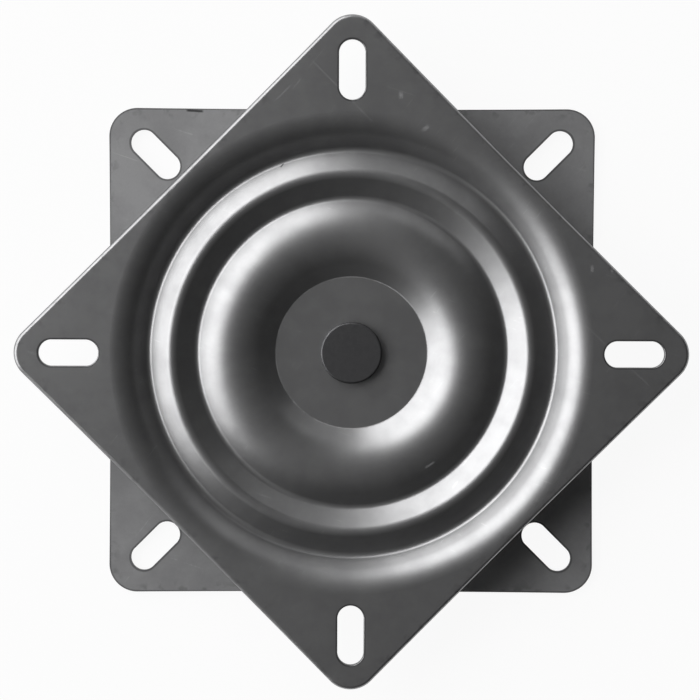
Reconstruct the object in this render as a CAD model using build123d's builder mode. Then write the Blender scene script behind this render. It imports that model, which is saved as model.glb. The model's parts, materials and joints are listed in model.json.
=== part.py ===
from build123d import *
import os
from math import cos, radians, sqrt, tan

# Bar stool swivel plate: two equal square steel pressings face each other and turn on a ring of balls.
# All lengths are in millimetres and all angles in degrees.
# The swivel axis is Z, and Z = 0 is the mounting face of the bottom plate.

# Square plates
plate_side = 177.8
plate_corner_r = 10.3
side_draw_in = 0.5  # how far the pressing pulls in the middle of each side
sheet = 2.5
die_roll = 1.4  # rounding of the punched outline on the mounting face
top_plate_turn = 45.0  # how far the top plate stands turned from the bottom plate

# Bolt slots, one at each corner of a plate, along its diagonals
slot_count = 4
slot_angle = 45.0  # from the plate's side to the diagonal
slot_inset = 24.1  # from the plate's square corner to the middle of the slot
slot_length = 21.6
slot_width = 9.5
slot_edge_r = 0.4

# Pressed dish: depths run down from the mounting face, bends are the radii on the inside of each bend
flange_flat = 0.3  # left between the shoulder and the rounded outline at the middle of each side
shoulder_angle = 43.5
shoulder_bend = 10.5
valley_depth = 7.6  # to the square corner of both valleys
valley_bend = 2.2
bead_angle = 29.5
bead_width = 17.7  # from valley to valley
bead_bend = 1.5
dome_width = 28.3  # from the inner valley to the floor
dome_outer_angle = 32.0
dome_inner_angle = 33.0
dome_bend = 17.0
floor_bend = 0.8

# Ball bearing
ball_d = 11.1125
ball_count = 24
race_clearance = 0.12  # between a ball and each of the four race flanks
cage_sheet = 1.2
cage_width = 16.4
cage_pocket_clearance = 0.25

# Centre rivet and the washer between the two floors
shank_d = 12.0
shank_clearance = 0.07  # on the radius
head_d = 22.2
head_height = 3.0
head_edge_r = 0.7
head_end_play = 0.12
tail_d = 18.5
tail_height = 2.3
tail_edge_r = 1.2
washer_thickness = 1.2
washer_play = 0.12
washer_margin = 5.0  # from the washer's rim to the edge of the floor


def slope(angle):
    return tan(radians(angle))


def stretch(angle):
    return 1 / cos(radians(angle))


def bend_length(radius, turn):
    """Length that a bend of this radius takes off each of its two walls."""
    return radius * tan(radians(turn / 2))


# Radii of the dish, worked inwards from the side of the plate
half_side = plate_side / 2
bend_start_r = half_side - side_draw_in - die_roll - flange_flat
flange_r = bend_start_r + flange_flat / 2  # where the flange meets the dish
shoulder_round = shoulder_bend + sheet
shoulder_r = bend_start_r - bend_length(shoulder_round, shoulder_angle)
outer_valley_r = shoulder_r - valley_depth / slope(shoulder_angle)
bead_r = outer_valley_r - bead_width / 2
inner_valley_r = bead_r - bead_width / 2
floor_r = inner_valley_r - dome_width

# Heights of one pressing, from its mounting face: the balls set how far apart the two plates stand
bead_peak_z = bead_width / 2 * slope(bead_angle) - valley_depth
race_peak_z = bead_peak_z - sheet * stretch(bead_angle)
ball_z = race_peak_z - (ball_d / 2 + race_clearance) * stretch(bead_angle)
floor_z = ball_z + (washer_thickness + washer_play) / 2 + sheet
dome_rise = dome_width * slope(dome_outer_angle) - valley_depth - floor_z
dome_peak_r = floor_r + dome_rise / (slope(dome_outer_angle) + slope(dome_inner_angle))
dome_peak_z = floor_z + (dome_peak_r - floor_r) * slope(dome_inner_angle)

# Heights of the whole part
overall_height = -2 * ball_z
middle_z = overall_height / 2
top_floor_z = overall_height + floor_z
bottom_floor_z = -floor_z

slot_circle_r = half_side * sqrt(2) - slot_inset
shank_hole_r = shank_d / 2 + shank_clearance

os.makedirs("parts", exist_ok=True)

# One pressing, flat face up: a slotted square flange round a dish of even thickness
with BuildPart() as pressing:
    with BuildSketch(Plane.XY.offset(-sheet)):
        with BuildLine():
            corners = [(half_side, half_side), (-half_side, half_side)]
            corners += [(-half_side, -half_side), (half_side, -half_side)]
            for start, end in zip(corners, corners[1:] + corners[:1]):
                SagittaArc(start, end, side_draw_in)
        outline = make_face()
        fillet(outline.vertices(), plate_corner_r)
        with PolarLocations(slot_circle_r, slot_count, start_angle=slot_angle):
            SlotOverall(slot_length, slot_width, mode=Mode.SUBTRACT)
    extrude(amount=sheet)
    mounting_face = pressing.faces().sort_by(Axis.Z)[-1]
    slot_rims = [edge for wire in mounting_face.inner_wires() for edge in wire.edges()]
    outer_rim = mounting_face.outer_wire().edges()
    fillet(outer_rim, die_roll)
    fillet(slot_rims, slot_edge_r)
    with BuildSketch(Plane.XY.offset(-sheet)):
        Circle(flange_r)
    extrude(amount=sheet, mode=Mode.SUBTRACT)
    with BuildSketch(Plane.XZ) as dish_section:
        with BuildLine():
            FilletPolyline(
                (shank_hole_r, floor_z),
                (floor_r, floor_z),
                (dome_peak_r, dome_peak_z),
                (inner_valley_r, -valley_depth),
                (bead_r, bead_peak_z),
                (outer_valley_r, -valley_depth),
                (shoulder_r, 0),
                (flange_r, 0),
                radius=[
                    floor_bend,
                    dome_bend + sheet,
                    valley_bend,
                    bead_bend + sheet,
                    valley_bend,
                    shoulder_round,
                ],
            )
            offset(amount=sheet, side=Side.RIGHT)
        make_face()
    revolve(axis=Axis.Z)

with BuildPart() as top_plate:
    with Locations(Location((0, 0, overall_height), (0, 0, top_plate_turn))):
        add(pressing.part)
top_plate.part.label = "top_plate"
export_step(top_plate.part, "parts/top_plate.step")

# The bottom plate is the same pressing turned over
with BuildPart() as bottom_plate:
    with Locations(Location((0, 0, 0), (180, 0, 0))):
        add(pressing.part)
bottom_plate.part.label = "bottom_plate"
export_step(bottom_plate.part, "parts/bottom_plate.step")

# Flat ring that spaces the balls, midway between the two plates
with BuildPart() as ball_cage:
    with BuildSketch(Plane.XY.offset(middle_z - cage_sheet / 2)):
        Circle(bead_r + cage_width / 2)
        Circle(bead_r - cage_width / 2, mode=Mode.SUBTRACT)
        with PolarLocations(bead_r, ball_count):
            Circle(ball_d / 2 + cage_pocket_clearance, mode=Mode.SUBTRACT)
    extrude(amount=cage_sheet)
ball_cage.part.label = "ball_cage"
export_step(ball_cage.part, "parts/ball_cage.step")

# Each ball stands in its own pocket of the cage
for number in range(1, ball_count + 1):
    ball_angle = 360 / ball_count * (number - 1)
    with BuildPart(Plane.XY.offset(middle_z)) as ball:
        with PolarLocations(bead_r, 1, start_angle=ball_angle):
            Sphere(ball_d / 2)
    ball.part.label = f"ball_{number:02d}"
    export_step(ball.part, f"parts/ball_{number:02d}.step")

# Washer that keeps the two floors from rubbing, lying on the bottom plate
with BuildPart() as thrust_washer:
    with BuildSketch(Plane.XY.offset(bottom_floor_z + sheet)):
        Circle(floor_r - washer_margin)
        Circle(shank_hole_r, mode=Mode.SUBTRACT)
    extrude(amount=washer_thickness)
thrust_washer.part.label = "thrust_washer"
export_step(thrust_washer.part, "parts/thrust_washer.step")

# Rivet: a flat head over the top floor, and a tail upset against the bottom floor
with BuildPart() as centre_rivet:
    head_seat_z = top_floor_z + head_end_play
    with BuildSketch(Plane.XY.offset(bottom_floor_z)):
        Circle(shank_d / 2)
    extrude(amount=head_seat_z - bottom_floor_z)
    with BuildSketch(Plane.XY.offset(head_seat_z)):
        Circle(head_d / 2)
    extrude(amount=head_height)
    fillet(centre_rivet.edges().group_by(Axis.Z)[-1], head_edge_r)
    with BuildSketch(Plane.XY.offset(bottom_floor_z)):
        Circle(tail_d / 2)
    extrude(amount=-tail_height)
    fillet(centre_rivet.edges().group_by(Axis.Z)[0], tail_edge_r)
centre_rivet.part.label = "centre_rivet"
export_step(centre_rivet.part, "parts/centre_rivet.step")

print(f"overall height {overall_height:.2f} mm, race radius {bead_r:.2f} mm, floor radius {floor_r:.2f} mm")
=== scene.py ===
"""Dress the bar stool swivel plate and light it in a plain studio.

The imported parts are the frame: the two pressed plates are modelled anew with a smooth skin, the small parts
keep their own meshes, and every piece gets a finish made of nodes.
Sizes of the part are millimetres and places in the studio are metres. Angles are degrees, unless a docstring
says radians.
"""

import json
import logging
import math
from collections.abc import Callable
from dataclasses import dataclass
from enum import Enum

import bmesh
import bpy
from mathutils import Matrix, Vector

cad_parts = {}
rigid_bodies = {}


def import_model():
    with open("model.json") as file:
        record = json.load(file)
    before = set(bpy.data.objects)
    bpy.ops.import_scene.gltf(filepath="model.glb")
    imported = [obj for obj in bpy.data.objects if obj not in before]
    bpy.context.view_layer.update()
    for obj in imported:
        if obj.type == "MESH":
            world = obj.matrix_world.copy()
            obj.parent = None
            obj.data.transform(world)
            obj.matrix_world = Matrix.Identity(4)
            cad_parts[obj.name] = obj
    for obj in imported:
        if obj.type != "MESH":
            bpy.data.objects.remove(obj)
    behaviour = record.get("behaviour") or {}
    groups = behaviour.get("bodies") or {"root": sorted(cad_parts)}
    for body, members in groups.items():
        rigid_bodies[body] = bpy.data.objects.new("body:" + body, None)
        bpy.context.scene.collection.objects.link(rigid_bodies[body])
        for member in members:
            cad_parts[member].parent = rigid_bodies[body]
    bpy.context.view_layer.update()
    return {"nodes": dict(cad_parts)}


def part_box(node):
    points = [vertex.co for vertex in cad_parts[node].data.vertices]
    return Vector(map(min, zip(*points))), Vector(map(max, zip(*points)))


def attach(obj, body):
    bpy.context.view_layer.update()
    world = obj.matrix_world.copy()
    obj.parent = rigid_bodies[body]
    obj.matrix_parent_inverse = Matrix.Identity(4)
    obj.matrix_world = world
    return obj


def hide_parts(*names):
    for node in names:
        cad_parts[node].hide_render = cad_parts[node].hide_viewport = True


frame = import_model()
MM = 0.001
TOUCH = 0.002  # millimetres within which two places count as one
MIDDLE = 0.5  # middle of a value that runs from 0 to 1
QUARTERS = 4  # quarter turns in a full turn
QUARTER_TURN = math.tau / QUARTERS  # radians
ORIGIN = (0.0, 0.0, 0.0)
UPRIGHT = (0.0, 0.0, 1.0)  # direction of the swivel axis
WHITE = (1.0, 1.0, 1.0, 1.0)
LOG = logging.getLogger("swivel_plate")


class Axis(Enum):
    """Components of a position, as the outputs of a separate node."""

    X = "X"
    Y = "Y"
    Z = "Z"


class Facing(Enum):
    """The way that a plate's mounting face looks, as the sign of its normal."""

    UP = 1
    DOWN = -1


class Round(Enum):
    """How a rounded edge runs into the flat face inside it."""

    RISING = "rising"
    FALLING = "falling"


class Signal:
    """An output socket that takes part in Python expressions."""

    def __init__(self, graph: "Graph", socket: bpy.types.NodeSocket) -> None:
        """Wrap a socket.

        Args:
            graph: The node tree that the socket belongs to.
            socket: The output socket.
        """
        self.graph = graph
        self.socket = socket

    def _math(self, operation: str, first: "Operand", second: "Operand") -> "Signal":
        """Add one Math node.

        Args:
            operation: The node's operation.
            first: The first value.
            second: The second value.

        Returns:
            The node's value.
        """
        return self.graph.node("ShaderNodeMath", {"operation": operation}, {0: first, 1: second})

    def __add__(self, other: "Operand") -> "Signal":
        """Add a value."""
        return self._math("ADD", self, other)

    def __radd__(self, other: "Operand") -> "Signal":
        """Add to a number."""
        return self._math("ADD", other, self)

    def __sub__(self, other: "Operand") -> "Signal":
        """Subtract a value."""
        return self._math("SUBTRACT", self, other)

    def __rsub__(self, other: "Operand") -> "Signal":
        """Subtract from a number."""
        return self._math("SUBTRACT", other, self)

    def __mul__(self, other: "Operand") -> "Signal":
        """Multiply by a value."""
        return self._math("MULTIPLY", self, other)

    def __rmul__(self, other: "Operand") -> "Signal":
        """Multiply a number."""
        return self._math("MULTIPLY", other, self)

    def __abs__(self) -> "Signal":
        """Drop the sign."""
        return self._math("ABSOLUTE", self, 0.0)

    def larger(self, other: "Operand") -> "Signal":
        """Keep the larger of two values."""
        return self._math("MAXIMUM", self, other)


Operand = Signal | float
Pair = tuple[float, float]
Triple = tuple[float, float, float]
Span = Pair
Colour = Triple
Tint = Signal | Colour


class Graph:
    """A shader node tree that is filled through one method."""

    MIX_FACTOR = 0  # sockets of a Mix node that mixes colours
    MIX_FIRST = 6
    MIX_SECOND = 7
    MIX_RESULT = 2

    def __init__(self, tree: bpy.types.NodeTree) -> None:
        """Start from an empty tree.

        Args:
            tree: The tree of a material or world.
        """
        self.tree = tree
        tree.nodes.clear()

    def node(
        self,
        kind: str,
        settings: dict[str, object] | None = None,
        inputs: dict[str | int, object] | None = None,
        output: str | int = 0,
    ) -> Signal:
        """Add a node of any kind.

        Args:
            kind: The node's type name.
            settings: Properties, set before the sockets.
            inputs: Socket names or numbers, with a value or a signal each.
            output: The socket to hand back.

        Returns:
            The chosen output, or the first input of a node that has no output.
        """
        made = self.tree.nodes.new(kind)
        for name, value in (settings or {}).items():
            setattr(made, name, value)
        for key, value in (inputs or {}).items():
            if isinstance(value, Signal):
                self.tree.links.new(value.socket, made.inputs[key])
            else:
                made.inputs[key].default_value = value
        return Signal(self, made.outputs[output] if made.outputs else made.inputs[0])

    def position_mm(self) -> Signal:
        """Place on the piece in millimetres, as a vector."""
        place = self.node("ShaderNodeTexCoord", output="Object")
        return self.node("ShaderNodeVectorMath", {"operation": "SCALE"}, {0: place, "Scale": 1.0 / MM})

    def component(self, vector: Signal, axis: Axis) -> Signal:
        """One component of a vector.

        Args:
            vector: The vector.
            axis: The component.

        Returns:
            Its value.
        """
        return self.node("ShaderNodeSeparateXYZ", {}, {0: vector}, axis.value)

    def turned(self, vector: Signal, turn: float, stretch: Triple = (1.0, 1.0, 1.0)) -> Signal:
        """Turn a position about Z and stretch it.

        Args:
            vector: The position.
            turn: Angle about Z.
            stretch: Factor along each axis, after the turn.

        Returns:
            The new position.
        """
        inputs = {"Vector": vector, "Angle": math.radians(turn)}
        spun = self.node("ShaderNodeVectorRotate", {"rotation_type": "Z_AXIS"}, inputs)
        return self.node("ShaderNodeVectorMath", {"operation": "MULTIPLY"}, {0: spun, 1: stretch})

    def step(self, value: Signal, start: float, end: float) -> Signal:
        """Rise smoothly from 0 at start to 1 at end.

        Args:
            value: The value to read.
            start: Where the rise starts.
            end: Where the rise ends, which may be lower than the start.

        Returns:
            A value between 0 and 1.
        """
        inputs = {"Value": value, "From Min": start, "From Max": end, "To Min": 0.0, "To Max": 1.0}
        return self.node("ShaderNodeMapRange", {"interpolation_type": "SMOOTHSTEP"}, inputs)

    def mix(self, factor: Operand, first: Tint, second: Tint) -> Signal:
        """Mix two colours.

        Args:
            factor: Share of the second colour.
            first: A colour or colour signal.
            second: A colour or colour signal.

        Returns:
            The mixed colour.
        """
        inputs = {
            self.MIX_FACTOR: factor,
            self.MIX_FIRST: self._rgba(first),
            self.MIX_SECOND: self._rgba(second),
        }
        return self.node("ShaderNodeMix", {"data_type": "RGBA"}, inputs, self.MIX_RESULT)

    @staticmethod
    def _rgba(tint: Tint) -> object:
        """Give a plain colour its alpha."""
        return tint if isinstance(tint, Signal) else (*tint, 1.0)

    def bump(self, height: Signal, depth_mm: float) -> Signal:
        """Turn a height between 0 and 1 into a normal.

        Args:
            height: The height.
            depth_mm: Real depth from 0 to 1.

        Returns:
            The bent normal.
        """
        return self.node("ShaderNodeBump", {}, {"Distance": depth_mm * MM, "Height": height})

    def principled(self, inputs: dict[str | int, object]) -> None:
        """Close a material with one Principled shader.

        Args:
            inputs: Socket names, with a value or a signal each.
        """
        surface = self.node("ShaderNodeBsdfPrincipled", {}, inputs)
        self.node("ShaderNodeOutputMaterial", {}, {"Surface": surface})


def new_material(name: str) -> tuple[bpy.types.Material, Graph]:
    """Make an empty node material.

    Args:
        name: Its name.

    Returns:
        The material and its graph.
    """
    material = bpy.data.materials.new(name)
    material.use_nodes = True
    return material, Graph(material.node_tree)


def dress(node: str, material: bpy.types.Material) -> None:
    """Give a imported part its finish.

    Args:
        node: Name of the part.
        material: The finish.
    """
    mesh = frame["nodes"][node].data
    mesh.materials.clear()
    mesh.materials.append(material)
    LOG.info("%s: %s", node, material.name)


def slope(angle: float) -> float:
    """Rise of a slope of this angle, over a run of 1."""
    return math.tan(math.radians(angle))


def bend_length(radius: float, turn: float) -> float:
    """Length that a bend takes off each of its two walls."""
    return radius * slope(turn / 2)


def along(heading: float) -> Vector:
    """Direction of a heading in radians."""
    return Vector((math.cos(heading), math.sin(heading)))


def left_of(heading: float) -> Vector:
    """Direction to the left of a heading in radians."""
    return Vector((-math.sin(heading), math.cos(heading)))


@dataclass(frozen=True)
class Corner:
    """A corner of a drawn line.

    Attributes:
        place: Where the straight stretches would meet.
        bend: Radius that rounds the corner, or 0 for a sharp one.
    """

    place: Vector
    bend: float = 0.0


def rounded(corners: list[Corner], step: float) -> list[tuple[Vector, float]]:
    """Round the corners of a line.

    Args:
        corners: The line's ends and its corners.
        step: Largest turn between two points of a bend.

    Returns:
        Points along the line, each with its heading in radians.
    """
    walls = [after.place - before.place for before, after in zip(corners, corners[1:])]
    headings = [math.atan2(wall.y, wall.x) for wall in walls]
    line = [(corners[0].place, headings[0])]
    for corner, start, end in zip(corners[1:], headings, headings[1:]):
        turn = math.remainder(end - start, math.tau)
        bend = math.copysign(corner.bend, turn)
        centre = corner.place + left_of(start) * bend - along(start) * bend * math.tan(turn / 2)
        count = math.ceil(math.degrees(abs(turn)) / step) if corner.bend else 0
        for number in range(count + 1):
            heading = start + turn * number / max(count, 1)
            line.append((centre - left_of(heading) * bend, heading))
    line.append((corners[-1].place, headings[-1]))
    return line


def pick(piece: bpy.types.Object) -> None:
    """Select one piece and no other, and make it active.

    Args:
        piece: The piece.
    """
    bpy.ops.object.select_all(action="DESELECT")
    piece.select_set(True)
    bpy.context.view_layer.objects.active = piece


def select(test: Callable[[bmesh.types.BMVert], bool]) -> None:
    """Select the vertices of the open mesh that pass a test, and no others.

    Args:
        test: Says whether a vertex is wanted.
    """
    mesh = bpy.context.object.data
    work = bmesh.from_edit_mesh(mesh)
    for vertex in work.verts:
        vertex.select = test(vertex)
    work.select_flush_mode()
    bmesh.update_edit_mesh(mesh)


def draw(points: list[Vector]) -> None:
    """Draw a chain of edges in the open mesh, by pulling one vertex along.

    Args:
        points: Places of the chain's vertices.
    """
    bpy.ops.mesh.primitive_plane_add(size=MM)
    bpy.ops.mesh.merge(type="CENTER")
    bpy.ops.transform.translate(value=points[0] * MM)
    for before, after in zip(points, points[1:]):
        bpy.ops.mesh.extrude_vertices_move(TRANSFORM_OT_translate={"value": (after - before) * MM})


@dataclass
class PressedPlate:
    """One pressing, mounting face up: a slotted square flange round a dish of even thickness.

    Attributes:
        floor_depth: From the mounting face down to the floor of the dish.
        side: Side of the square.
        corner_r: Rounding of its corners.
        side_draw_in: How far the middle of each side is pulled in.
        sheet: Thickness of the steel.
        die_roll: Rounding of the outline on the mounting face.
        slot_count: Number of slots.
        slot_inset: From the square's corner to the middle of a slot.
        slot_length: Length of a slot.
        slot_width: Width of a slot.
        slot_edge_r: Rounding of a slot's rim.
        flange_flat: Flat left between the shoulder and the rounded outline.
        shoulder_angle: Slope of the shoulder.
        shoulder_bend: Inside radius of the shoulder.
        valley_depth: Depth of the square corner of both valleys.
        valley_bend: Inside radius of the valleys.
        bead_angle: Slope of both flanks of the bead.
        bead_width: From valley to valley.
        bead_bend: Inside radius of the bead.
        dome_width: From the inner valley to the floor.
        dome_outer_angle: Outer slope of the domed ring.
        dome_inner_angle: Inner slope of the domed ring.
        dome_bend: Inside radius of the domed ring.
        floor_bend: Inside radius round the floor.
        hole_r: Radius of the rivet hole.
        slot_points: Points round a slot, two more than a multiple of four so that it parts in even halves.
        side_parts: Straight parts that make up a side.
        roll_steps: Steps of the rounded outline.
        rim_steps: Steps of a slot's rounded rim.
        bend_step: Largest turn between two points of a bend.
        spin_steps: Steps round the dish.
        crease: Angle from which an edge stays sharp.
    """

    floor_depth: float
    side: float = 177.8
    corner_r: float = 10.3
    side_draw_in: float = 0.5
    sheet: float = 2.5
    die_roll: float = 1.4
    slot_count: int = 4
    slot_inset: float = 24.1
    slot_length: float = 21.6
    slot_width: float = 9.5
    slot_edge_r: float = 0.4
    flange_flat: float = 0.3
    shoulder_angle: float = 43.5
    shoulder_bend: float = 10.5
    valley_depth: float = 7.6
    valley_bend: float = 2.2
    bead_angle: float = 29.5
    bead_width: float = 17.7
    bead_bend: float = 1.5
    dome_width: float = 28.3
    dome_outer_angle: float = 32.0
    dome_inner_angle: float = 33.0
    dome_bend: float = 17.0
    floor_bend: float = 0.8
    hole_r: float = 6.07
    slot_points: int = 34
    side_parts: int = 10
    roll_steps: int = 6
    rim_steps: int = 3
    bend_step: float = 3.5
    spin_steps: int = 192
    crease: float = 30.0

    def build(self, name: str) -> bpy.types.Object:
        """Model the pressing.

        Args:
            name: Name of the piece.

        Returns:
            The piece, at the origin with its mounting face at height 0.
        """
        bpy.ops.object.select_all(action="DESELECT")
        self._slots()
        self._rim()
        self._dish()
        self._skins()
        piece = bpy.context.object
        piece.name = name
        piece.data.name = name
        return piece

    def slot_reach(self) -> float:
        """Distance from the middle of the plate to the middle of a slot."""
        return self.side / 2 * math.sqrt(2) - self.slot_inset

    def slot_half(self) -> float:
        """Distance from the middle of a slot to the middle of its round end."""
        return (self.slot_length - self.slot_width) / 2

    def slot_rim_r(self) -> float:
        """Radius of a slot's round end on the mounting face, where its rounded rim starts."""
        return self.slot_width / 2 + self.slot_edge_r

    def floor_radius(self) -> float:
        """Radius of the floor of the dish."""
        _, floor, *_ = self._section()
        return floor.place.x

    def _slots(self) -> None:
        """Start the mesh with the walls of the slots, one modelled and the others copied round."""
        bpy.ops.mesh.primitive_circle_add(
            vertices=self.slot_points, radius=self.slot_rim_r() * MM, fill_type="NGON"
        )
        bpy.ops.object.mode_set(mode="EDIT")
        for way in (-1, 1):
            select(lambda vertex: vertex.co.y * way > 0)
            bpy.ops.transform.translate(value=(0.0, way * self.slot_half() * MM, 0.0))
        bpy.ops.mesh.select_all(action="SELECT")
        bpy.ops.transform.translate(value=(0.0, self.slot_reach() * MM, 0.0))
        self._round_in(self.slot_edge_r, self.rim_steps, Round.FALLING)
        wall = self.sheet - self.slot_edge_r
        bpy.ops.mesh.extrude_region_move(TRANSFORM_OT_translate={"value": (0.0, 0.0, -wall * MM)})
        bpy.ops.mesh.delete(type="ONLY_FACE")
        bpy.ops.mesh.select_all(action="SELECT")
        turn = math.tau / self.slot_count
        bpy.ops.transform.rotate(value=turn / 2, orient_axis="Z", center_override=ORIGIN)
        copies = self.slot_count - 1
        bpy.ops.mesh.spin(steps=copies, dupli=True, angle=turn * copies, center=ORIGIN, axis=UPRIGHT)

    @staticmethod
    def _round_in(radius: float, steps: int, edge: Round) -> None:
        """Turn the outline of the selected flat face into a quarter round.

        Args:
            radius: Radius of the round.
            steps: Number of its steps.
            edge: How the round runs into the face.
        """
        angles = [QUARTER_TURN * number / steps for number in range(steps + 1)]
        for start, end in zip(angles, angles[1:]):
            flat, steep = math.sin(end) - math.sin(start), math.cos(start) - math.cos(end)
            inwards, upwards = (steep, flat) if edge is Round.RISING else (flat, -steep)
            bpy.ops.mesh.inset(thickness=inwards * radius * MM, depth=upwards * radius * MM)

    def _rim(self) -> None:
        """Add the square's wall and its rounded outline."""
        half = self.side / 2
        places = [half * (1 - 2 * number / self.side_parts) for number in range(1, self.side_parts)]
        side = [Corner(Vector((x, half - self.side_draw_in * (1 - (x / half) ** 2)))) for x in places]
        side.append(Corner(Vector((-half, half)), self.corner_r))
        corners = []
        for quarter in range(QUARTERS):
            turn = Matrix.Rotation(QUARTER_TURN * quarter, 2)
            corners += [Corner(turn @ corner.place, corner.bend) for corner in side]
        outline = rounded([*corners, corners[0]], self.bend_step)[:-1]
        draw([Vector((*place, -self.sheet)) for place, _ in outline])
        bpy.ops.mesh.select_linked()
        bpy.ops.mesh.edge_face_add()
        wall = self.sheet - self.die_roll
        bpy.ops.mesh.extrude_region_move(TRANSFORM_OT_translate={"value": (0.0, 0.0, wall * MM)})
        bpy.ops.mesh.select_linked()
        bpy.ops.mesh.normals_make_consistent(inside=False)
        select(lambda vertex: self._at_height(vertex, -self.die_roll))
        self._round_in(self.die_roll, self.roll_steps, Round.RISING)
        bpy.ops.mesh.delete(type="ONLY_FACE")
        select(lambda vertex: self._at_height(vertex, -self.sheet))
        bpy.ops.mesh.delete(type="ONLY_FACE")

    @staticmethod
    def _at_height(vertex: bmesh.types.BMVert, height: float) -> bool:
        """Whether a vertex lies at a height."""
        return abs(vertex.co.z - height * MM) < TOUCH * MM

    def _dish(self) -> None:
        """Add the dish, a section of even thickness spun about the axis."""
        upper = rounded(self._section(), self.bend_step)
        lower = [(place - left_of(heading) * self.sheet, heading) for place, heading in upper]
        chain = [place for place, _ in [*reversed(upper), *lower]]
        draw([Vector((place.x, 0.0, place.y)) for place in chain])
        bpy.ops.mesh.select_linked()
        bpy.ops.mesh.spin(
            steps=self.spin_steps, angle=math.tau, center=ORIGIN, axis=UPRIGHT, use_auto_merge=True
        )

    def _section(self) -> list[Corner]:
        """Corners of the dish's upper line, from the rivet hole out to the flange.

        Returns:
            The corners as radius and height, with the radii of the upper face.
        """
        shoulder_round = self.shoulder_bend + self.sheet
        bend_start = self.side / 2 - self.side_draw_in - self.die_roll - self.flange_flat
        shoulder_r = bend_start - bend_length(shoulder_round, self.shoulder_angle)
        outer_valley_r = shoulder_r - self.valley_depth / slope(self.shoulder_angle)
        bead_r = outer_valley_r - self.bead_width / 2
        inner_valley_r = bead_r - self.bead_width / 2
        floor_r = inner_valley_r - self.dome_width
        bead_peak = self.bead_width / 2 * slope(self.bead_angle) - self.valley_depth
        rise = self.dome_width * slope(self.dome_outer_angle) - self.valley_depth + self.floor_depth
        dome_run = rise / (slope(self.dome_outer_angle) + slope(self.dome_inner_angle))
        dome_peak = dome_run * slope(self.dome_inner_angle) - self.floor_depth
        return [
            Corner(Vector((self.hole_r, -self.floor_depth))),
            Corner(Vector((floor_r, -self.floor_depth)), self.floor_bend),
            Corner(Vector((floor_r + dome_run, dome_peak)), self.dome_bend + self.sheet),
            Corner(Vector((inner_valley_r, -self.valley_depth)), self.valley_bend),
            Corner(Vector((bead_r, bead_peak)), self.bead_bend + self.sheet),
            Corner(Vector((outer_valley_r, -self.valley_depth)), self.valley_bend),
            Corner(Vector((shoulder_r, 0.0)), shoulder_round),
            Corner(Vector((bend_start + self.flange_flat / 2, 0.0))),
        ]

    def _skins(self) -> None:
        """Close the flange between the outline, the slots and the dish, above and below."""
        for height in (0.0, -self.sheet):
            select(lambda vertex: vertex.is_boundary and self._at_height(vertex, height))
            bpy.ops.mesh.fill(use_beauty=True)
        bpy.ops.mesh.select_all(action="SELECT")
        bpy.ops.mesh.remove_doubles(threshold=TOUCH * MM)
        bpy.ops.mesh.normals_make_consistent(inside=False)
        bpy.ops.object.mode_set(mode="OBJECT")

    def smooth(self, piece: bpy.types.Object) -> None:
        """Shade a placed pressing smoothly, with its flat faces kept flat.

        Args:
            piece: The pressing.
        """
        pick(piece)
        bpy.ops.object.shade_smooth_by_angle(angle=math.radians(self.crease))
        even = piece.modifiers.new("even_normals", "WEIGHTED_NORMAL")
        even.keep_sharp = True
        bpy.ops.object.modifier_apply(modifier=even.name)


@dataclass(frozen=True)
class Mottle:
    """Even noise over a surface.

    Attributes:
        size_mm: Size of its largest spots.
        detail: Number of finer layers.
        depth: Strength of the finer layers.
    """

    size_mm: float
    detail: float
    depth: float = 0.5

    def over(self, graph: Graph, place: Signal) -> Signal:
        """Spread the noise over a surface.

        Args:
            graph: The material's graph.
            place: Position in millimetres.

        Returns:
            The noise, between 0 and 1.
        """
        inputs = {
            "Vector": place,
            "Scale": 1.0 / self.size_mm,
            "Detail": self.detail,
            "Roughness": self.depth,
        }
        return graph.node("ShaderNodeTexNoise", {}, inputs)


NICK: Colour = (0.1, 0.1, 0.102)  # colour of the dark nicks


@dataclass(frozen=True)
class Scuff:
    """A mark on a plate, as a straight line in the part's frame.

    Attributes:
        start_mm: First end.
        end_mm: Second end.
        width_mm: Width across the line.
        strength: Share of the mark's own colour.
        tint: Colour of the mark.
        core: Share of the width that has the full strength.
    """

    start_mm: Pair
    end_mm: Pair
    width_mm: float
    strength: float
    tint: Colour = (0.5, 0.5, 0.505)
    core: float = 1 / 3

    def mask(self, graph: Graph, x: Signal, y: Signal) -> Signal:
        """Show the mark as a value.

        Args:
            graph: The material's graph.
            x: Place along X in millimetres.
            y: Place along Y in millimetres.

        Returns:
            1 on the mark and 0 away from it.
        """
        run = Vector(self.end_mm) - Vector(self.start_mm)
        run_x, run_y = run / run.length
        half_length, half_width = run.length / 2, self.width_mm / 2
        middle = (Vector(self.start_mm) + Vector(self.end_mm)) / 2
        lengthwise = abs((x - middle.x) * run_x + (y - middle.y) * run_y)
        crosswise = abs((y - middle.y) * run_x - (x - middle.x) * run_y)
        inside = graph.step(lengthwise, half_length, half_length - self.width_mm)
        return graph.step(crosswise, half_width, half_width * self.core) * inside


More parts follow.
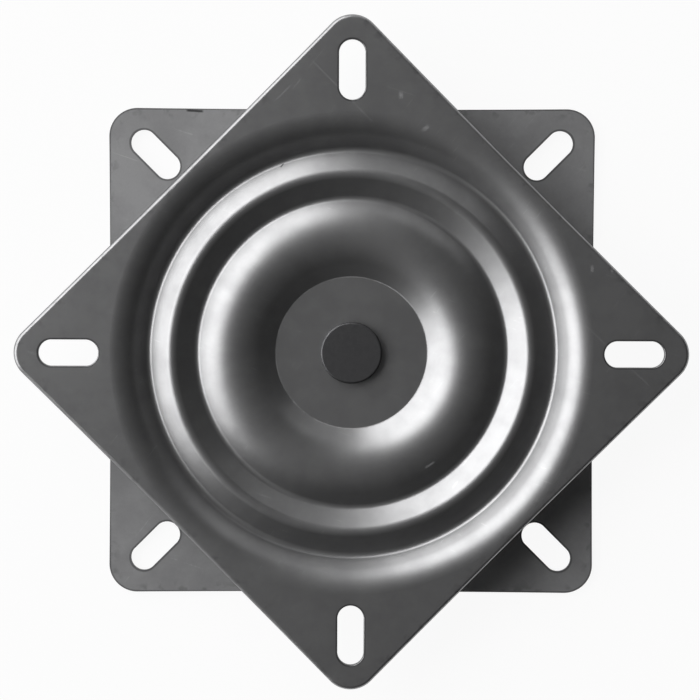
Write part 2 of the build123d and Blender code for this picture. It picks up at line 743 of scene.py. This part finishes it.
@dataclass(frozen=True)
class PlateEdges:
    """Where a plate is blackened along its sheared edges, with painted shade in a thin rim beside them, and
    where a painted highlight runs along the edge of its floor.

    Attributes:
        plate: The pressing.
        turn: How far the plate stands turned about Z.
        mount_mm: Height of its mounting face.
        facing: The way that its mounting face looks.
        shade_rim_mm: Width of the painted shade beside a sheared edge.
        shade_rim_share: Share of black in that painted shade.
        wall_span: Depth at which the outline's wall turns black, as shares of its rounding.
        inner_span: Depth at which the inner face starts, as shares of the sheet's thickness.
        grime: Noise of the dark spots along the outline.
        grime_span: Where that noise turns into a spot.
        grime_mm: Width of the band of spots.
        grime_share: Share of black in a spot.
        floor_highlight_mm: Half the width of the painted highlight along the edge of the floor.
        floor_highlight_share: Share of the painted highlight in that line.
    """

    plate: PressedPlate
    turn: float
    mount_mm: float
    facing: Facing
    shade_rim_mm: float = 0.45
    shade_rim_share: float = 0.55
    wall_span: Span = (0.4, 0.7)
    inner_span: Span = (0.95, 0.99)
    grime: Mottle = Mottle(4.0, 3.0)
    grime_span: Span = (0.54, 0.68)
    grime_mm: float = 7.0
    grime_share: float = 0.3
    floor_highlight_mm: float = 0.4
    floor_highlight_share: float = 0.6

    def cut(self, graph: Graph, place: Signal) -> Signal:
        """Blackened walls of the slots and the outline, painted shade in a thin rim beside them, and the dark
        spots near the outline.

        Args:
            graph: The material's graph.
            place: Position in millimetres.

        Returns:
            The share of black, 0 away from the edges.
        """
        square = graph.turned(place, -self.turn)
        x, y = abs(graph.component(square, Axis.X)), abs(graph.component(square, Axis.Y))
        depth = (self.mount_mm - graph.component(place, Axis.Z)) * self.facing.value
        reach = self._corner_reach(x, y)
        # painted shade: a dark rim beside the slots and beside the outline
        rims = self._slot_walls_and_shade(graph, x, y).larger(self._outline(graph, reach, depth))
        spots = graph.step(self.grime.over(graph, place), *self.grime_span)
        band = self._near_outline(graph, reach, self.grime_mm, 0.0)
        return rims.larger(spots * band * self.grime_share)

    def floor(self, graph: Graph, x: Signal, y: Signal) -> Signal:
        """Painted highlight: a lighter line along the edge of the dish's floor.

        Args:
            graph: The material's graph.
            x: Place along X in millimetres.
            y: Place along Y in millimetres.

        Returns:
            The share of wear on the line, and 0 away from it.
        """
        reach = x * x + y * y
        edge = self.plate.floor_radius()
        inner = graph.step(reach, (edge - self.floor_highlight_mm) ** 2, edge**2)
        outer = graph.step(reach, (edge + self.floor_highlight_mm) ** 2, edge**2)
        return inner * outer * self.floor_highlight_share

    def _slot_walls_and_shade(self, graph: Graph, x: Signal, y: Signal) -> Signal:
        """Walls of the slots, and painted shade in a thin rim round them.

        Args:
            graph: The material's graph.
            x: Distance from the middle along one pair of sides, in millimetres.
            y: Distance from the middle along the other pair.

        Returns:
            The share of black in a slot, and 0 away from it.
        """
        diagonal = math.sqrt(0.5)
        outwards = abs((x + y) * diagonal - self.plate.slot_reach()) - self.plate.slot_half()
        across = (x - y) * diagonal
        beyond = outwards.larger(0.0)
        near = self.plate.slot_rim_r()
        # painted shade: a dark band on the face round each slot, together with the slot's wall
        rim = graph.step(beyond * beyond + across * across, (near + self.shade_rim_mm) ** 2, near**2)
        return rim * self.shade_rim_share

    def _corner_reach(self, x: Signal, y: Signal) -> Signal:
        """Squared distance past the middle of the nearest corner's rounding.

        Args:
            x: Distance from the middle along one pair of sides, in millimetres.
            y: Distance from the middle along the other pair.

        Returns:
            The corner radius squared on the outline, and less inside it.
        """
        straight = self.plate.side / 2 - self.plate.corner_r
        past_x, past_y = (x - straight).larger(0.0), (y - straight).larger(0.0)
        return past_x * past_x + past_y * past_y

    def _near_outline(self, graph: Graph, reach: Signal, start: float, end: float) -> Signal:
        """Rise between two distances inside the outline.

        Args:
            graph: The material's graph.
            reach: The corner reach.
            start: Distance from the outline where the rise starts.
            end: Distance from the outline where it ends.

        Returns:
            A value between 0 and 1.
        """
        corner_r = self.plate.corner_r
        return graph.step(reach, (corner_r - start) ** 2, (corner_r - end) ** 2)

    def _outline(self, graph: Graph, reach: Signal, depth: Signal) -> Signal:
        """Wall of the outline below its rounding, and painted shade in a thin rim on the plate's inner face.

        Args:
            graph: The material's graph.
            reach: The corner reach.
            depth: Depth under the mounting face.

        Returns:
            1 on the wall, the rim's share of black on the rim, and 0 away from them.
        """
        roll, sheet = self.plate.die_roll, self.plate.sheet
        wall = self._near_outline(graph, reach, roll, roll / 2)
        # painted shade: a dark band on the inner face along the outline
        rim = self._near_outline(graph, reach, self.shade_rim_mm * 2, self.shade_rim_mm)
        inner = graph.step(depth, *(sheet * share for share in self.inner_span))
        below = graph.step(depth, *(roll * share for share in self.wall_span))
        return below * (wall * (1.0 - inner) + rim * inner * self.shade_rim_share)


@dataclass(frozen=True)
class PlateSteel:
    """Dark satin sheet steel with stains, fine drawing lines, wear, blackened sheared edges, painted shade
    beside them and a painted highlight along the edge of the floor.

    Attributes:
        name: The material's name.
        edges: The plate's edges.
        scuffs: Marks that the plate carries.
        roughness: Middle roughness.
        dark: Colour of the stained steel.
        light: Colour of the clean steel.
        scratch_and_highlight_tint: Colour of the scratches and of the painted highlight along the floor.
        cut: Colour of the sheared edges, the dark spots and the painted shade beside the edges.
        grazing: Tint of the gloss at grazing angles, where the oiled steel is dull.
        metallic: Share of bare metal, the rest being a thin matt film.
        stain: Noise of the broad stains.
        patch: Noise of the smaller patches.
        grain: Noise of the fine grain.
        streak: Noise that is drawn out into lines.
        stain_share: Share of the stains in the tone, the rest being patches.
        tone_span: Where the tone turns from dark to light.
        line_stretch: How the streaks are drawn out, along the line, across it and in height.
        line_turns: Directions of the lines.
        line_span: Where a streak turns into a line.
        line_patches: Where a patch carries lines.
        floor_highlight_patches: Where a patch carries the painted highlight along the floor.
        scratch_and_highlight_share: Share of that colour in the scratches and in the painted highlight.
        wear_and_highlight_roughness: What wear and the painted highlight add to the roughness.
        tone_roughness: What the tone takes from the roughness.
        patch_roughness: What the patches add to the roughness.
        grain_roughness: What the grain adds to the roughness.
        patch_height: Height of the patches, as a share of the relief.
        grain_height: Height of the grain.
        scratch_depth: Depth of the scratches and scuffs.
        relief_mm: Real depth of the relief.
    """

    name: str
    edges: PlateEdges
    scuffs: tuple[Scuff, ...]
    roughness: float = 0.37
    dark: Colour = (0.325, 0.325, 0.33)
    light: Colour = (0.39, 0.39, 0.395)
    scratch_and_highlight_tint: Colour = (0.52, 0.52, 0.525)
    cut: Colour = (0.06, 0.06, 0.062)
    grazing: Colour = (0.55, 0.55, 0.55)
    metallic: float = 0.92
    stain: Mottle = Mottle(38.0, 5.0, 0.62)
    patch: Mottle = Mottle(9.0, 4.0, 0.6)
    grain: Mottle = Mottle(0.55, 2.0)
    streak: Mottle = Mottle(0.9, 2.0)
    stain_share: float = 0.6
    tone_span: Span = (0.36, 0.64)
    line_stretch: Triple = (0.02, 1.0, 0.3)
    line_turns: Pair = (18.0, -52.0)
    line_span: Span = (0.66, 0.72)
    line_patches: Span = (0.5, 0.68)
    floor_highlight_patches: Span = (0.25, 0.55)
    scratch_and_highlight_share: float = 0.5
    wear_and_highlight_roughness: float = 0.35
    tone_roughness: float = 0.02
    patch_roughness: float = 0.02
    grain_roughness: float = 0.06
    patch_height: float = 0.1
    grain_height: float = 0.25
    scratch_depth: float = 0.5
    relief_mm: float = 0.012

    def material(self) -> bpy.types.Material:
        """Build the finish.

        Returns:
            The material.
        """
        material, graph = new_material(self.name)
        place = graph.position_mm()
        x, y = graph.component(place, Axis.X), graph.component(place, Axis.Y)
        stain, patch, grain = (noise.over(graph, place) for noise in (self.stain, self.patch, self.grain))
        tone = graph.step(stain * self.stain_share + patch * (1.0 - self.stain_share), *self.tone_span)
        scratch = self._lines(graph, place) * graph.step(patch, *self.line_patches)
        # painted highlight: a lighter, rougher line along the edge of the floor
        wear_and_highlight = self.edges.floor(graph, x, y) * graph.step(patch, *self.floor_highlight_patches)
        colour = graph.mix(tone, self.dark, self.light)
        # the scratches and the painted highlight take the lighter colour
        colour = graph.mix(scratch.larger(wear_and_highlight) * self.scratch_and_highlight_share, colour, self.scratch_and_highlight_tint)
        for scuff in self.scuffs:
            mark = scuff.mask(graph, x, y)
            shown = mark * scuff.strength
            colour = graph.mix(shown, colour, scuff.tint)
            scratch = scratch.larger(mark)
            wear_and_highlight = wear_and_highlight.larger(shown)
        # blackened edges, dark spots and the painted shade beside the edges
        colour = graph.mix(self.edges.cut(graph, place), colour, self.cut)
        rough = self.roughness + (MIDDLE - tone) * self.tone_roughness
        rough = rough + (grain - MIDDLE) * self.grain_roughness + (patch - MIDDLE) * self.patch_roughness
        height = grain * self.grain_height + patch * self.patch_height - scratch * self.scratch_depth
        graph.principled(
            {
                "Base Color": colour,
                "Metallic": self.metallic,
                "Roughness": rough + wear_and_highlight * self.wear_and_highlight_roughness,
                "Specular Tint": (*self.grazing, 1.0),
                "Normal": graph.bump(height, self.relief_mm),
            }
        )
        return material

    def _lines(self, graph: Graph, place: Signal) -> Signal:
        """Fine broken lines in two directions.

        Args:
            graph: The material's graph.
            place: Position in millimetres.

        Returns:
            1 or more on a line and 0 between them.
        """
        drawn = [graph.turned(place, turn, self.line_stretch) for turn in self.line_turns]
        first, second = (graph.step(self.streak.over(graph, line), *self.line_span) for line in drawn)
        return first + second


@dataclass(frozen=True)
class PlainMetal:
    """Steel of the small parts: an even colour broken by fine grain and soft patches.

    Attributes:
        name: The material's name.
        dark: Colour of its darker patches.
        light: Colour of its lighter patches.
        roughness: Middle roughness.
        patch: Noise of the patches.
        grain: Noise of the grain.
        relief_mm: Real depth of the relief.
        tone_span: Where the patches turn from dark to light.
        tone_roughness: What the tone takes from the roughness.
        grain_roughness: What the grain adds to the roughness.
        patch_height: Height of the patches, as a share of the relief.
        grain_height: Height of the grain.
    """

    name: str
    dark: Colour
    light: Colour
    roughness: float
    patch: Mottle
    grain: Mottle
    relief_mm: float
    tone_span: Span = (0.34, 0.66)
    tone_roughness: float = 0.06
    grain_roughness: float = 0.08
    patch_height: float = 0.5
    grain_height: float = 0.5

    def material(self) -> bpy.types.Material:
        """Build the finish.

        Returns:
            The material.
        """
        material, graph = new_material(self.name)
        place = graph.position_mm()
        patch, grain = self.patch.over(graph, place), self.grain.over(graph, place)
        tone = graph.step(patch, *self.tone_span)
        rough = self.roughness + (grain - MIDDLE) * self.grain_roughness
        height = grain * self.grain_height + patch * self.patch_height
        graph.principled(
            {
                "Base Color": graph.mix(tone, self.dark, self.light),
                "Metallic": 1.0,
                "Roughness": rough + (MIDDLE - tone) * self.tone_roughness,
                "Normal": graph.bump(height, self.relief_mm),
            }
        )
        return material


@dataclass(frozen=True)
class WasherNylon:
    """Off-white nylon, a little yellowed, with a fine moulded grain.

    Attributes:
        name: The material's name.
        clean: Colour of clean nylon.
        aged: Colour of greased nylon.
        roughness: Middle roughness.
        patch: Noise of the greased patches.
        grain: Noise of the grain.
        aged_span: Where a patch turns from clean to greased.
        grain_roughness: What the grain adds to the roughness.
        relief_mm: Real depth of the grain.
    """

    name: str = "washer_nylon"
    clean: Colour = (0.78, 0.76, 0.7)
    aged: Colour = (0.66, 0.61, 0.5)
    roughness: float = 0.5
    patch: Mottle = Mottle(7.0, 4.0, 0.6)
    grain: Mottle = Mottle(0.4, 2.0)
    aged_span: Span = (0.4, 0.7)
    grain_roughness: float = 0.12
    relief_mm: float = 0.01

    def material(self) -> bpy.types.Material:
        """Build the finish.

        Returns:
            The material.
        """
        material, graph = new_material(self.name)
        place = graph.position_mm()
        patch, grain = self.patch.over(graph, place), self.grain.over(graph, place)
        graph.principled(
            {
                "Base Color": graph.mix(graph.step(patch, *self.aged_span), self.clean, self.aged),
                "Roughness": self.roughness + (grain - MIDDLE) * self.grain_roughness,
                "Normal": graph.bump(grain, self.relief_mm),
            }
        )
        return material


@dataclass
class SwivelPlates:
    """The two pressed plates, one turned over under the other.

    Attributes:
        top_turn: How far the top plate stands turned about Z.
        base_roughness: Roughness of the bottom plate, whose dull inner face shows.
        top_scuffs: Marks on the top plate.
        base_scuffs: Marks on the bottom plate.
    """

    top_turn: float = 45.0
    base_roughness: float = 0.7
    top_scuffs: tuple[Scuff, ...] = (
        Scuff((26.4, -41.6), (30.4, -38.9), 1.1, 0.8),
        Scuff((-22.0, 96.0), (-27.5, 90.5), 0.8, 0.15),
        Scuff((-13.9, 104.2), (7.5, 82.8), 0.8, 0.12),
        Scuff((83.4, 10.7), (107.2, -11.5), 0.8, 0.12),
        Scuff((17.2, 94.6), (17.6, 90.6), 2.2, 0.35),
        Scuff((24.6, 79.5), (28.0, 82.1), 2.0, 0.35),
        Scuff((86.0, 32.6), (86.2, 28.8), 1.6, 0.35),
        Scuff((93.0, 31.2), (93.4, 28.8), 1.4, 0.3),
        Scuff((-25.9, 66.6), (-24.5, 68.4), 0.7, 0.8, NICK),
    )
    base_scuffs: tuple[Scuff, ...] = (Scuff((-61.0, 88.0), (-54.0, 87.6), 1.2, 0.8, NICK),)

    def build(self) -> None:
        """Model the pressing once, and place and dress it as both plates."""
        washer_low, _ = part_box("thrust_washer")
        _, top_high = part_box("top_plate")
        pressing = PressedPlate(floor_depth=washer_low.z / MM - PressedPlate.sheet)
        top = pressing.build("top_plate_pressing")
        bpy.ops.object.duplicate()
        base = bpy.context.object
        base.name = "bottom_plate_pressing"
        self._place(top, (0.0, 0.0, top_high.z), (0.0, 0.0, math.radians(self.top_turn)))
        self._place(base, ORIGIN, (math.pi, 0.0, 0.0))
        for piece, node, body in ((top, "top_plate", "top"), (base, "bottom_plate", "base")):
            pressing.smooth(piece)
            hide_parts(node)
            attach(piece, body)
        top_edges = PlateEdges(pressing, self.top_turn, top_high.z / MM, Facing.UP)
        base_edges = PlateEdges(pressing, 0.0, 0.0, Facing.DOWN)
        top_steel = PlateSteel("top_plate_steel", top_edges, self.top_scuffs)
        base_steel = PlateSteel("bottom_plate_steel", base_edges, self.base_scuffs, self.base_roughness)
        for piece, steel in ((top, top_steel), (base, base_steel)):
            piece.data.materials.append(steel.material())
            LOG.info("%s: %s", piece.name, steel.name)

    @staticmethod
    def _place(piece: bpy.types.Object, place: Triple, turn: Triple) -> None:
        """Turn and move a piece, with its place put into its mesh.

        Args:
            piece: The piece.
            place: Where its origin goes, in metres.
            turn: Angles about X, Y and Z in radians.
        """
        pick(piece)
        piece.location = place
        piece.rotation_euler = turn
        bpy.ops.object.transform_apply(location=True, rotation=True, scale=True)


@dataclass
class BallBearing:
    """The balls and the ring that spaces them.

    Attributes:
        ball_count: Number of balls.
        ball: Finish of the balls.
        cage: Finish of the ring.
    """

    ball_count: int = 24
    ball: PlainMetal = PlainMetal(
        name="ball_steel",
        dark=(0.5, 0.5, 0.51),
        light=(0.64, 0.64, 0.65),
        roughness=0.14,
        patch=Mottle(2.5, 4.0, 0.6),
        grain=Mottle(0.2, 2.0),
        relief_mm=0.002,
    )
    cage: PlainMetal = PlainMetal(
        name="cage_steel",
        dark=(0.3, 0.3, 0.31),
        light=(0.42, 0.42, 0.43),
        roughness=0.34,
        patch=Mottle(8.0, 4.0, 0.6),
        grain=Mottle(0.5, 2.0),
        relief_mm=0.01,
    )

    def dress(self) -> None:
        """Give the balls and the ring their finishes."""
        polished = self.ball.material()
        for number in range(1, self.ball_count + 1):
            dress(f"ball_{number:02d}", polished)
        dress("ball_cage", self.cage.material())


@dataclass
class CentrePivot:
    """The rivet and the washer round it.

    Attributes:
        rivet: Finish of the rivet.
        washer: Finish of the washer.
    """

    rivet: PlainMetal = PlainMetal(
        name="rivet_steel",
        dark=(0.105, 0.105, 0.109),
        light=(0.135, 0.135, 0.139),
        roughness=0.48,
        patch=Mottle(3.0, 4.0, 0.6),
        grain=Mottle(0.4, 2.0),
        relief_mm=0.02,
    )
    washer: WasherNylon = WasherNylon()

    def dress(self) -> None:
        """Give the rivet and the washer their finishes."""
        dress("centre_rivet", self.rivet.material())
        dress("thrust_washer", self.washer.material())


@dataclass(frozen=True)
class SoftBox:
    """A soft rectangular lamp that stands upright and faces the swivel axis.

    Attributes:
        name: Its name.
        place: Its middle.
        width: Its width.
        height: Its height.
        radiance: Brightness of its face.
    """

    name: str
    place: Triple
    width: float
    height: float
    radiance: float

    def build(self) -> None:
        """Put the lamp in place."""
        bpy.ops.object.light_add(type="AREA", location=self.place)
        lamp = bpy.context.object
        lamp.name = self.name
        x, y, _ = self.place
        lamp.rotation_euler = Vector((-x, -y, 0.0)).to_track_quat("-Z", "Y").to_euler()
        lamp.visible_camera = False
        lamp.data.shape = "RECTANGLE"
        lamp.data.size = self.width
        lamp.data.size_y = self.height
        lamp.data.energy = self.radiance * math.pi * self.width * self.height
        LOG.info("%s: soft lamp", self.name)


@dataclass
class Studio:
    """Pale floor, soft lamps and the dim room above them.

    Attributes:
        floor_side: Side of the floor.
        floor_drop: How far the floor lies under the part.
        floor_colour: Its colour.
        floor_glow: Share of plain white that the camera and reflections see in the floor.
        overhead: Brightness of the room above.
        around: Brightness of the room at the sides.
        low: Brightness of the room near the floor.
        overhead_span: Where the sides turn into the room above, as the height of a direction of length 1.
        low_span: Where the sides turn into the room near the floor, likewise.
        lamps: The soft lamps.
    """

    floor_side: float = 40.0
    floor_drop: float = 0.0003
    floor_colour: Colour = (0.9, 0.9, 0.9)
    floor_glow: float = 0.93
    overhead: float = 0.065
    around: float = 0.016
    low: float = 0.11
    overhead_span: Span = (0.45, 0.98)
    low_span: Span = (0.36, 0.2)
    lamps: tuple[SoftBox, ...] = (
        SoftBox("side_lamp", place=(-1.1, 0.49, 1.31), width=3.5, height=1.78, radiance=3.15),
        SoftBox("low_side_lamp", place=(-1.1, 0.49, 0.21), width=3.5, height=0.42, radiance=1.65),
        SoftBox("back_lamp", place=(0.55, 1.2, 0.6), width=1.2, height=1.0, radiance=0.37),
    )

    def build(self) -> None:
        """Build the floor, the room and the lamps."""
        self._floor()
        self._room()
        for lamp in self.lamps:
            lamp.build()

    def _floor(self) -> None:
        """Lay the floor, which keeps the part's shadow."""
        bpy.ops.mesh.primitive_plane_add(size=self.floor_side, location=(0.0, 0.0, -self.floor_drop))
        floor = bpy.context.object
        floor.name = "studio_floor"
        material, graph = new_material("pale_floor")
        camera = graph.node("ShaderNodeLightPath", output="Is Camera Ray")
        glossy = graph.node("ShaderNodeLightPath", output="Is Glossy Ray")
        through = graph.node("ShaderNodeLightPath", output="Is Transmission Ray")
        seen = camera.larger(glossy).larger(through)
        matt = graph.node("ShaderNodeBsdfDiffuse", {}, {"Color": (*self.floor_colour, 1.0)})
        white = graph.node("ShaderNodeEmission", {}, {"Color": WHITE, "Strength": 1.0})
        surface = graph.node("ShaderNodeMixShader", {}, {0: seen * self.floor_glow, 1: matt, 2: white})
        graph.node("ShaderNodeOutputMaterial", {}, {"Surface": surface})
        floor.data.materials.append(material)
        LOG.info("%s: %s", floor.name, material.name)

    def _room(self) -> None:
        """Make the room brighter overhead and near the floor than between them."""
        world = bpy.data.worlds.new("dim_room")
        bpy.context.scene.world = world
        world.use_nodes = True
        graph = Graph(world.node_tree)
        direction = graph.node("ShaderNodeTexCoord", output="Generated")
        height = graph.component(direction, Axis.Z)
        grey = self.around + (self.overhead - self.around) * graph.step(height, *self.overhead_span)
        grey = grey + (self.low - self.around) * graph.step(height, *self.low_span)
        room = graph.node("ShaderNodeBackground", {}, {"Color": WHITE, "Strength": grey})
        graph.node("ShaderNodeOutputWorld", {}, {"Surface": room})


@dataclass
class PhotoCamera:
    """Camera above the part, leaning a little.

    Attributes:
        place: Where it stands.
        target: The point in the middle of the picture.
        roll: How far it is rolled.
        lens: Focal length in millimetres.
        sensor: Sensor width in millimetres.
    """

    place: Triple = (0.0, 0.0374, 0.945)
    target: Triple = (-0.0005, 0.00136, 0.025)
    roll: float = 0.19
    lens: float = 132.2
    sensor: float = 36.0

    def build(self) -> None:
        """Put the camera in place."""
        bpy.ops.object.camera_add()
        camera = bpy.context.object
        camera.name = "photo_camera"
        camera.data.lens = self.lens
        camera.data.sensor_width = self.sensor
        sight = Vector(self.place) - Vector(self.target)
        back = sight.normalized()
        turn = math.radians(self.roll)
        right = Vector((-math.sin(turn), math.cos(turn), 0.0)).cross(back).normalized()
        up = back.cross(right)
        stance = Matrix((right, up, back)).transposed()
        camera.matrix_world = Matrix.Translation(self.place) @ stance.to_4x4()
        bpy.context.scene.camera = camera
        LOG.info("camera %.3f m from the part", sight.length)


def main() -> None:
    """Dress the part, then build the studio and the camera."""
    logging.basicConfig(level=logging.INFO, format="%(name)s %(message)s")
    bpy.ops.object.select_all(action="DESELECT")
    SwivelPlates().build()
    BallBearing().dress()
    CentrePivot().dress()
    Studio().build()
    PhotoCamera().build()
    bpy.context.scene.view_settings.view_transform = "Standard"


if __name__ == "__main__":
    main()
